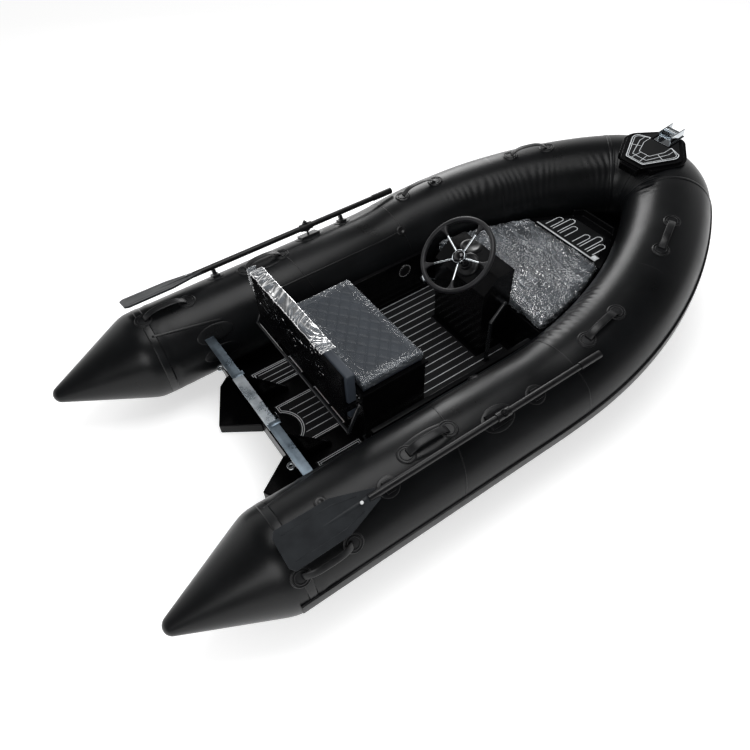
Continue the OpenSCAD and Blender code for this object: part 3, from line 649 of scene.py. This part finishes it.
aft_low, aft_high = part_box("floor_mat_aft")
notch = Vector((0.840, 0, 0))
for inset in (0.009, 0.019):
    radius = 0.105 + inset
    half = 0.150 - inset
    left = aft_low.x + inset
    spread = math.degrees(math.acos((left - notch.x) / radius))
    arc = [(notch.x + radius * math.cos(math.radians(a)), radius * math.sin(math.radians(a)))
           for a in steps(-spread, spread, 30)]
    right = aft_high.x - inset
    line(mesh, [(left, -half)] + arc + [(left, half), (right, half), (right, -half)], mat_top, closed=True)
    for side in (-1, 1):
        near, far = side * (0.262 + inset), side * (aft_high.y - inset)
        line(mesh, [(left, near), (left, far), (right, far), (right, near)], mat_top, closed=True)
for i in range(-2, 3):
    y = i * 0.042
    reach = notch.x + math.sqrt(max(0, 0.135 ** 2 - y * y))
    line(mesh, [(max(reach, aft_low.x + 0.030), y), (aft_high.x - 0.030, y)], mat_top)
for side in (-1, 1):
    for y in (0.308, 0.344, 0.380):
        line(mesh, [(aft_low.x + 0.034, side * y), (aft_high.x - 0.030, side * y)], mat_top)

step_low, step_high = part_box("bow_step_mat")
step_top = step_high.z
for side in (-1, 1):
    for y, reach in ((0.048, 0.10), (0.104, 0.14), (0.160, 0.10)):
        start = step_low.x + 0.036
        end = start + reach
        tip = end + 0.014
        near, far = side * (y - 0.019), side * (y + 0.019)
        line(mesh, [(start, near), (end, near), (tip, side * (y - 0.008)), (tip, side * (y + 0.008)),
                    (end, far), (start, far)], step_top, width=0.0046)
make_piece(mesh, "mat_lines", pale_foam)
mesh = bmesh.new()
strip_edge = 0.010
for x, y, width in ((strip_edge, step_high.y - strip_edge, 0.011), (0.030, step_low.y + 0.046, 0.034)):
    line(mesh, [(step_low.x + x, y), (step_low.x + x, step_low.y + strip_edge)], step_top, width)
make_piece(mesh, "step_edge_strip", pale_foam)

mesh = bmesh.new()
plate_place = bow_plane @ shifted(bow_run, 0, tube_r + 0.018 + 0.0003 + 0.006)
for inset, width in ((0.0275, 0.0046), (0.0385, 0.0030)):
    half = []
    for x, y, radius, start, end in ((-0.150, 0.050, 0.040, 180, 120.7), (0, 0.110, 0.065, 120.7, 47.2)):
        for turn in steps(start, end, 5 if radius < 0.05 else 12):
            out = Vector((math.cos(math.radians(turn)), math.sin(math.radians(turn))))
            half.append(Vector((x, y)) + out * max(radius - inset, 0.004))
    half.append(Vector((0.046, 0.074)))
    half.append(Vector((0.034 + inset - 0.0275, 0.068)))
    line(mesh, [(p.x, p.y) for p in reversed(half)] + [(p.x, -p.y) for p in half], 0, width,
         place=plate_place)
for aft, wide, reach in ((-0.124, 0.046, 0.098), (-0.086, 0.034, 0.070)):
    half = [(aft, 0), (aft, wide), (-0.008, reach), (0.032, reach)]
    line(mesh, [(x, -y) for x, y in reversed(half)] + half[1:], 0, 0.0030, place=plate_place)
for side in (-1, 1):
    line(mesh, [(-0.150, side * 0.028), (-0.088, side * 0.022)], 0, 0.0030, place=plate_place)
    line(mesh, [(-0.066, side * 0.112), (-0.044, side * 0.058)], 0, 0.0030, place=plate_place)
make_piece(mesh, "bow_plate_lines", pale_foam)

# ---- Transom fittings ----
# The folded metal cap has ribs along it, two clamped joint plates beside the motor pad and a row
# of screws. Glued collars of fabric close the corners between the board and the tubes, and a
# bright ring edges the drain.
cap_low, cap_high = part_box("transom_cap")
pad_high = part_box("motor_pad")[1]
mesh = bmesh.new()
rib_ends = (pad_high.y + 0.004, cap_high.y - 0.006)
for x in steps(cap_low.x + 0.020, cap_high.x - 0.010, 5):
    for side in (-1, 1):
        rib = [shifted(x, side * y, cap_high.z) for y in rib_ends]
        band(mesh, rib, 0.0022, 0.0010, along="y")
for side in (-1, 1):
    place = shifted(cap_high.x - 0.023, side * (pad_high.y + 0.010), cap_high.z + 0.0015)
    plate = place @ Matrix.Diagonal((0.050, 0.026, 0.005, 1))
    made = bmesh.ops.create_cube(mesh, size=1, matrix=plate)["verts"]
    rim = list({e for v in made for e in v.link_edges})
    bmesh.ops.bevel(mesh, geom=rim, offset=0.0012, affect="EDGES", segments=2, profile=0.5, material=-1)
    for x in (-0.014, 0.014):
        turned(mesh, [(0, 0.0042), (0.003, 0.0040), (0.0042, 0.0028), (0.0044, 0), (0, 0)], 24,
               place @ shifted(x, 0, 0.002))
rake = math.radians(12)
board_front = 0.740 + 0.040
board_top = 0.404
screw_drop = 0.023
for y in (-0.42, -0.36, -0.30, -0.24, -0.13, -0.06, 0.06, 0.13, 0.24, 0.30, 0.36, 0.42):
    thick = 0.0065 if abs(y) < pad_high.y else 0.0035
    screw_x = board_front + screw_drop * math.tan(rake) + thick
    place = (shifted(screw_x, y, board_top - screw_drop)
             @ Matrix.Rotation(math.pi / 2 + rake, 4, "Y"))
    turned(mesh, [(0, 0.003), (0.0025, 0.0029), (0.0042, 0.0018), (0.0046, 0), (0, -0.001)], 24, place)
make_piece(mesh, "transom_cap_fittings", brushed, sharp=40)

mesh = bmesh.new()
for angle in (-86, -58):
    patch(mesh, on_tube(0.800, angle), 0.075, (1.3, 0.62), height=0.0018)
both_sides(mesh)
make_piece(mesh, "transom_collars", tape_pvc)
mesh = bmesh.new()
ring_place = shifted(0.8195, -0.070, 0.300) @ Matrix.Rotation(math.pi / 2 + rake, 4, "Y")
turned(mesh, [(0.014, 0.002), (0.016, 0.005), (0.020, 0.005), (0.022, 0.002), (0.022, -0.004),
              (0.014, -0.004), (0.014, 0.002)], 48, ring_place @ Matrix.Diagonal((1, 1.5, 1, 1)))
make_piece(mesh, "drain_ring", steel, sharp=40)

# ---- Steering wheel and console ----
# A soft moulded rim with webs where the five polished spokes meet it, a gloss hub cap in a bright
# ring, and a bezel on the console's face round the helm's neck. A bright knob, two deck fittings
# and small white caps are near it.
wheel_foam = surface("soft_wheel_moulding", "#101012", "#19191c", (0.36, 0.48), specular=0.35, patch=16,
                     grain=500, depth=0.0003)
rim_low, rim_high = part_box("wheel_rim")
wheel_lean = 52 - 90
wheel_place = shifted(1.925, 0, 0.672) @ rotated(wheel_lean, "Y")
rim_grip_r = 0.013
rim_r = (rim_high.y - rim_low.y) / 2 - rim_grip_r
spokes = 5
first_spoke = 70
mesh = bmesh.new()
for i in range(spokes):
    turn = rotated(first_spoke + 360 / spokes * i, "Z")
    frames = []
    for t in steps(0, 1, 12):
        wide = 0.013 + 0.055 * t ** 2.6
        thick = 0.014 + 0.006 * t
        spot = shifted(rim_r - 0.058 + 0.054 * t, 0, -0.0085 + 0.0085 * t)
        frames.append(wheel_place @ turn @ spot @ Matrix.Rotation(-0.16, 4, "Y")
                      @ Matrix.Diagonal((1, wide, thick, 1)))
    band(mesh, frames, 1, 1, points=24)
make_piece(mesh, "wheel_webs", wheel_foam, "steering_wheel")
dress(wheel_foam, "wheel_rim")
wheel_dish = 0.020
hub_place = wheel_place @ shifted(0, 0, -wheel_dish)
gloss = surface("gloss_plastic_cap", "#060607", "#0a0a0b", (0.06, 0.1), specular=0.5, patch=20, grain=500,
                depth=0.00003)
mesh = bmesh.new()
turned(mesh, [(0, 0.0145), (0.010, 0.0138), (0.018, 0.0118), (0.024, 0.0085), (0.028, 0.0045),
              (0.0295, 0.0024), (0, 0.0024)], place=hub_place)
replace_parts(make_piece(mesh, "hub_dome", gloss, "steering_wheel"), "wheel_cap")
mesh = bmesh.new()
turned(mesh, [(0.0295, 0.0023), (0.0305, 0.0052), (0.0325, 0.0060), (0.0345, 0.0050), (0.0352, 0.0023),
              (0.0295, 0.0023)], place=hub_place)
make_piece(mesh, "hub_ring", steel, "steering_wheel")
mesh = bmesh.new()
bezel_reach = 0.1276
bezel_tilt = -4.4
bezel_place = wheel_place @ shifted(0, 0, -bezel_reach) @ rotated(bezel_tilt, "Y")
turned(mesh, [(0.0225, 0.030), (0.027, 0.029), (0.033, 0.014), (0.046, 0.010), (0.056, 0.009),
              (0.062, 0.004), (0.063, 0.0006), (0.0225, 0.0006), (0.0225, 0.030)], place=bezel_place)
make_piece(mesh, "helm_bezel", plastic, sharp=50)
mesh = bmesh.new()
knob_place = shifted(pod_low.x - 0.052, pod_high.y + 0.005, 0.392) @ rotated(-60, "Y")
turned(mesh, [(0, 0.030), (0.016, 0.0298), (0.0225, 0.027), (0.0245, 0.020), (0.021, 0.010), (0.009, 0.006),
              (0.009, -0.070), (0, -0.070)], place=knob_place)
make_piece(mesh, "helm_trim_and_knob", steel, sharp=50)
mesh = bmesh.new()
coaming_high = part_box("side_coamings")[1]
deck_cap = shifted(pod_low.x - 0.030, coaming_high.y - 0.026, 0.290) @ rotated(90, "X")
turned(mesh, [(0, 0.002), (0.030, 0.002), (0.033, 0.004), (0.040, 0.004), (0.042, 0.001), (0.042, -0.002),
              (0, -0.002)], place=deck_cap)
top_place = shifted(pod_high.x - 0.055, 0.075, pod_high.z)
turned(mesh, [(0, 0.004), (0.034, 0.004), (0.040, 0.008), (0.050, 0.008), (0.056, 0.001), (0.056, -0.002),
              (0, -0.002)], place=top_place)
make_piece(mesh, "deck_fittings", plastic, sharp=50)
mesh = bmesh.new()
cap_dots = 20
for i in range(cap_dots):
    turn = rotated(360 / cap_dots * i, "Z") @ shifted(0.0365, 0, 0.004)
    turned(mesh, [(0, 0.0012), (0.0012, 0.0010), (0.0018, 0.0004), (0.0018, -0.0004), (0, -0.0004)], 12,
           deck_cap @ turn)
for y in (0, 0.018, 0.036):
    place = shifted(1.1366, -0.262 - y, 0.440) @ rotated(-90, "Y")
    turned(mesh, [(0, 0.0014), (0.003, 0.0012), (0.004, 0.0002), (0.004, -0.0005), (0, -0.0005)], 20, place)
white_cap = surface("white_nylon_caps", "#c9cbcc", "#dfe0e1", (0.4, 0.5), specular=0.4, patch=20, grain=500,
                    depth=0.0001)
make_piece(mesh, "white_caps", white_cap)
rail_paint = surface("gloss_rail_paint", "#101113", "#17181a", (0.10, 0.18), specular=0.5, patch=12,
                     grain=400, depth=0.0001)
dress(rail_paint, "grab_rail", "backrest_frame")

# ---- Oars ----
# Satin black tubes with moulded grips and collars. Each blade is grey moulded plastic with a
# tapering rib down its middle and a pale rivet through the socket.
oar_tube = surface("satin_oar_tube", "#09090a", "#111113", (0.28, 0.4), specular=0.35, patch=10, grain=380,
                   depth=0.0002)
blade_plastic = surface("grey_blade_plastic", "#1a1c1f", "#24272a", (0.40, 0.52), specular=0.2, patch=12,
                        depth=0.0004)
blade_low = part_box("blade_port")[0]
oar_turn = -24
oar_reach = 0.282
oar_spot = shifted(0, side_y, tube_z) @ rotated(oar_turn, "X") @ shifted(0, 0, oar_reach)
dress(oar_tube, "oar_port", "oar_starboard")
for side, name in ((1, "port"), (-1, "starboard")):
    body = name + "_oar"
    rounded("blade_" + name, blade_plastic, 0.002, 2)
    mesh = bmesh.new()
    frames = []
    for t in steps(0, 1, 24):
        size = 0.006 + 0.024 * t ** 1.3
        frames.append(oar_spot @ shifted(blade_low.x + 0.035 + 0.345 * t, 0, 0.002)
                      @ Matrix.Diagonal((1, size, size * 0.62, 1)))
    band(mesh, frames, 1, 1, points=20)
    for across in (-0.052, 0.052):
        ridge = [oar_spot @ shifted(blade_low.x + x, across * k, 0.0052)
                 for x, k in ((0.03, 1), (0.24, 1), (0.34, 0.6))]
        band(mesh, ridge, 0.005, 0.003)
    to_side(mesh, side)
    make_piece(mesh, "blade_ribs_" + name, blade_plastic, body)
    mesh = bmesh.new()
    turned(mesh, [(0, 0.0035), (0.004, 0.0032), (0.0068, 0.0016), (0.007, 0), (0.007, -0.004), (0, -0.004)],
           28, oar_spot @ shifted(blade_low.x + 0.345, 0, 0.0165))
    to_side(mesh, side)
    make_piece(mesh, "blade_rivet_" + name, white_cap, body)

# ---- Cushions ----
# Vinyl over foam. Each cover starts a little small and swells under air pressure in a cloth
# simulation. The helm seat's is quilted: it is then drawn in along its sewn lines.
vinyl = surface("quilted_vinyl", "#272c33", "#30363e", (0.42, 0.55), patch=9, grain=420, depth=0.0004)


swell_steps = 20


def baked(shown):
    """Applies every modifier of an object."""
    data = bpy.data.meshes.new_from_object(shown.evaluated_get(bpy.context.evaluated_depsgraph_get()))
    shown.modifiers.clear()
    shown.data = data


def cushion(node, inset, cap, detail=False):
    """The swollen cover of a CAD cushion."""
    low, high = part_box(node)
    centre, size = (low + high) / 2, high - low
    mesh = bmesh.new()
    mesh.from_mesh(nodes[node].data)
    bmesh.ops.remove_doubles(mesh, verts=mesh.verts, dist=1e-5)
    for v in mesh.verts:
        for axis in range(3):
            v.co[axis] = centre[axis] + (v.co[axis] - centre[axis]) * (1 - 2 * inset / size[axis])
    pad = make_piece(mesh, node + "_cover", vinyl, nodes[node]["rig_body"])
    remesh = pad.modifiers.new("voxels", "REMESH")
    remesh.mode = "VOXEL"
    remesh.voxel_size = 0.006
    remesh.use_smooth_shade = True
    baked(pad)
    rest = [v.co.copy() for v in pad.data.vertices]
    cloth = pad.modifiers.new("swell", "CLOTH")
    cloth.settings.use_pressure = True
    cloth.settings.uniform_pressure_force = 4
    cloth.settings.effector_weights.gravity = 0
    for step in range(1, swell_steps + 1):
        scene.frame_set(step)
    baked(pad)
    for v, before in zip(pad.data.vertices, rest):
        moved = v.co - before
        if moved.length > cap:
            v.co = before + moved.normalized() * cap
    scene.frame_set(1)
    if detail:
        pad.modifiers.new("finer", "SUBSURF").levels = 1
        baked(pad)
    pad.data.polygons.foreach_set("use_smooth", [True] * len(pad.data.polygons))
    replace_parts(pad, node)
    return pad, low, high


def stitch(distance, width, depth):
    """How deep a sewn line draws the cover in at a distance from it."""
    return depth * math.exp(-((distance / width) ** 2))


seat_pad, low, high = cushion("seat_cushion", 0.005, 0.005, detail=True)
diamond = 0.052
for v in seat_pad.data.vertices:
    if v.co.z > high.z - 0.016:
        border = min(v.co.x - low.x, high.x - v.co.x, v.co.y - low.y, high.y - v.co.y) - 0.048
        pull = stitch(border, 0.0035, 0.0032)
        if border > 0:
            for slant in (-1, 1):
                across = (v.co.x * 0.78 + slant * v.co.y * 0.62) / diamond
                pull += stitch(abs(across - round(across)) * diamond, 0.005, 0.0036) * smooth(border / 0.01)
        v.co.z -= pull
_, back_low, back_high = cushion("backrest_cushion", 0.004, 0.004)
front_pad, front_low, front_high = cushion("front_cushion", 0.005, 0.005)

# ---- Protective film ----
# New upholstery still in its clear wrapping: tight over the helm seat, crumpled round the
# backrest and loose and glittering on the front seat. Folds gather the film and turn it milky,
# and the white on their ridges is also a painted highlight.
# The noise that lays the folds has one fixed seed, so that every run gives the same films.
fold_seed = 1795171485
noise.seed_set(fold_seed)


def film_material(name, haze, folds, shine, grain, depth):
    """Clear plastic film, milkier where an attribute of the mesh says that it is folded; the white on the
    ridges is partly a painted highlight.
    """
    material, tree, output = new_material(name)
    place = add(tree, "ShaderNodeTexCoord").outputs["Object"]
    fold = add(tree, "ShaderNodeAttribute", attribute_name="fold").outputs["Fac"]
    drawn = add(tree, "ShaderNodeVectorMath", {0: place, 1: (1, 0.4, 0.7)}, operation="MULTIPLY").outputs[0]
    creases = add(tree, "ShaderNodeTexNoise", {
        "Vector": drawn, "Scale": grain, "Detail": 2, "Roughness": 0.45, "Distortion": 0.8})
    bump = add(tree, "ShaderNodeBump", {"Height": creases.outputs[0], "Strength": 1.0, "Distance": depth})
    # The fold attribute mixes in white: partly the milkiness of gathered film, partly a painted highlight on
    # the fold ridges.
    milk_and_painted_highlight = add(tree, "ShaderNodeMath", {0: fold, 1: folds, 2: haze}, operation="MULTIPLY_ADD", use_clamp=True)
    clear = add(tree, "ShaderNodeBsdfTransparent", {"Color": (0.95, 0.96, 0.97, 1)})
    white = add(tree, "ShaderNodeBsdfDiffuse", {"Color": linear("#c3c9cf"), "Normal": bump.outputs[0]})
    body = add(tree, "ShaderNodeMixShader", {0: milk_and_painted_highlight.outputs[0], 1: clear.outputs[0], 2: white.outputs[0]})
    facing = add(tree, "ShaderNodeLayerWeight", {"Blend": 0.28, "Normal": bump.outputs[0]})
    gleam = add(tree, "ShaderNodeMath", {0: facing.outputs["Fresnel"], 1: shine}, operation="MULTIPLY",
                use_clamp=True)
    glossy = add(tree, "ShaderNodeBsdfGlossy", {
        "Color": (1, 1, 1, 1), "Roughness": 0.09, "Normal": bump.outputs[0]})
    both = add(tree, "ShaderNodeMixShader", {0: gleam.outputs[0], 1: body.outputs[0], 2: glossy.outputs[0]})
    tree.links.new(both.outputs[0], output.inputs["Surface"])
    return material


def crease(x, y, size, seed, grain=0.38):
    """Height of sharp folds from 0 to 1. They run long and change their way slowly over the film."""
    way = 1.5 * noise.noise((x * 3.1, y * 3.1, seed)) + 0.6
    ahead = x * math.cos(way) + y * math.sin(way)
    aside = (y * math.cos(way) - x * math.sin(way)) * grain
    p = Vector((ahead, aside, seed * size)) / size
    p += noise.noise_vector(p * 0.8) * 0.2
    near = noise.voronoi(p)[0]
    return 0.45 * min(1.0, near[0]) + 0.55 * max(0.0, 1 - 3.2 * (near[1] - near[0])) ** 1.5


def film_piece(mesh, folds, name, material, body):
    """Turns a film's bmesh into a piece, with its folds as an attribute."""
    area = sum(face.calc_area() for face in mesh.faces)
    made = make_piece(mesh, name, material, body)
    # The fold attribute carries the film's milkiness and its painted highlight on the ridges.
    shade = made.data.attributes.new("fold", "FLOAT", "POINT")
    shade.data.foreach_set("value", folds)


def draped(pad, low, high, skirt, rise, size, seed, columns, rows, edge_only=None):
    """A film over a cushion's top that turns down its sides. A tight one folds near its edge only."""
    nearby = ((0.014, 0), (-0.014, 0), (0, 0.014), (0, -0.014), (0.024, 0.024), (-0.024, 0.024))
    tree = BVHTree.FromObject(pad, bpy.context.evaluated_depsgraph_get())
    mesh = bmesh.new()
    bmesh.ops.create_grid(mesh, x_segments=columns, y_segments=rows, size=0.5)
    middle = (low.z + high.z) / 2
    lost, height = [], {}
    for v in mesh.verts:
        x = (low.x + high.x) / 2 + v.co.x * (high.x - low.x + 2 * skirt)
        y = (low.y + high.y) / 2 + v.co.y * (high.y - low.y + 2 * skirt)
        hit, normal, _, _ = tree.ray_cast(Vector((x, y, high.z + 0.1)), Vector((0, 0, -1)))
        if hit and edge_only and normal.z > 0.5:
            near = [tree.ray_cast(Vector((x + a, y + b, high.z + 0.1)), Vector((0, 0, -1)))[0]
                    for a, b in nearby]
            hit.z, normal = max([hit.z] + [n.z for n in near if n]), Vector((0, 0, 1))
        if hit is None or normal.z < 0.5:
            near, _, _, _ = tree.find_nearest(Vector((x, y, middle)))
            out = math.hypot(near.x - x, near.y - y)
            edge = 0.7 + 0.3 * noise.noise((x * 22, y * 22, seed))
            if out > skirt * edge:
                lost.append(v)
            down = max(low.z + 0.006, high.z - 0.004 - out)
            hit, normal, _, _ = tree.find_nearest(Vector((near.x, near.y, down)))
        inside = min(x - low.x, high.x - x, y - low.y, high.y - y)
        rim = smooth(1 - (inside - 0.01) / edge_only) if edge_only else 1
        fold = crease(x, y, size, seed) * 0.6 + crease(x, y, size * 0.5, seed + 5) * 0.4
        fold *= 0.08 + 0.92 * rim
        v.co = hit + normal * (0.0012 + rise * fold)
        height[v] = fold
    bmesh.ops.delete(mesh, geom=lost, context="VERTS")
    # Only the highest ridges get the white weight, which is partly milkiness and partly a painted highlight.
    return mesh, [min(1.0, max(0.0, height[v] - 0.46) * 2) for v in mesh.verts]


# Each film's second number sets how white its folds turn: milkiness and a painted highlight.
tight = film_material("tight_clear_film", 0.05, 0.35, 1.0, 9, 0.004)
crumpled = film_material("crumpled_clear_film", 0.04, 0.60, 3.4, 15, 0.030)
gathered = film_material("gathered_clear_film", 0.12, 0.40, 0.8, 12, 0.005)

mesh, folds = draped(seat_pad, low, high, 0.040, 0.0050, 0.050, 2.0, 220, 380, edge_only=0.09)
film_piece(mesh, folds, "helm_seat_film", tight, "helm_seat_lid")

mesh, folds = draped(front_pad, front_low, front_high, 0.052, 0.016, 0.060, 6.0, 260, 345)
film_piece(mesh, folds, "front_seat_film", crumpled, "bow_locker_lid")

mesh = bmesh.new()
bmesh.ops.create_grid(mesh, x_segments=130, y_segments=330, size=0.5)
folds = []
wrap_low = 0.590
wrap_ends = (-0.235, back_high.y + 0.050)
for v in mesh.verts:
    t, along = v.co.x + 0.5, v.co.y + 0.5
    y = wrap_ends[0] + (wrap_ends[1] - wrap_ends[0]) * along
    half, tall = (back_high.x - back_low.x) / 2 + 0.006, back_high.z - wrap_low
    length = 2 * tall + 2 * half
    s = t * length
    centre = (back_low.x + back_high.x) / 2
    if s < tall:
        x, z, push = centre + half, wrap_low + s, Vector((1, 0, 0))
    elif s < tall + 2 * half:
        x, z, push = centre + half - (s - tall), back_high.z + 0.002, Vector((0, 0, 1))
    else:
        x, z, push = centre - half, back_high.z - (s - tall - 2 * half), Vector((-1, 0, 0))
    gather = smooth((y - back_high.y + 0.004) / 0.042)
    knot = Vector((centre - 0.012, y, back_high.z - 0.045))
    fold = crease(s, y, 0.045, 11.0) * 0.6 + crease(s, y, 0.022, 17.0) * 0.4
    ragged = 0.014 * noise.noise((y * 26, 0, 3)) if s < 0.02 or s > length - 0.02 else 0
    point = Vector((x, y, z + ragged)) + push * (0.0005 + 0.0085 * fold * (0.45 if push.x > 0 else 1))
    flare = 0.16 + 0.55 * smooth((y - back_high.y - 0.034) / 0.014)
    v.co = point.lerp(knot + (point - knot) * flare, gather)
    # Ridges and the gathered end turn white: milkiness, with a painted highlight on the ridges.
    folds.append(min(1.0, max(0.0, fold - 0.6) * 1.6 + 0.25 * gather))
film_piece(mesh, folds, "backrest_film", gathered, "backrest")

mesh = bmesh.new()
bmesh.ops.create_grid(mesh, x_segments=90, y_segments=60, size=0.5)
folds = []
for v in mesh.verts:
    along, across = v.co.x + 0.5, v.co.y + 0.5
    fold = crease(along * 0.14, across * 0.09, 0.03, 21.0)
    x = front_low.x + 0.012 + 0.13 * along
    y = -0.335 - 0.055 * across + 0.02 * noise.noise((along * 5, across * 2, 1))
    z = front_high.z - 0.004 - 0.045 * across ** 1.5 + 0.010 * fold
    v.co = (x, y, z)
    # The flap's ridges turn white: milkiness, with a painted highlight on them.
    folds.append(min(1.0, 0.3 + fold))
film_piece(mesh, folds, "front_film_flap", crumpled, "bow_locker_lid")
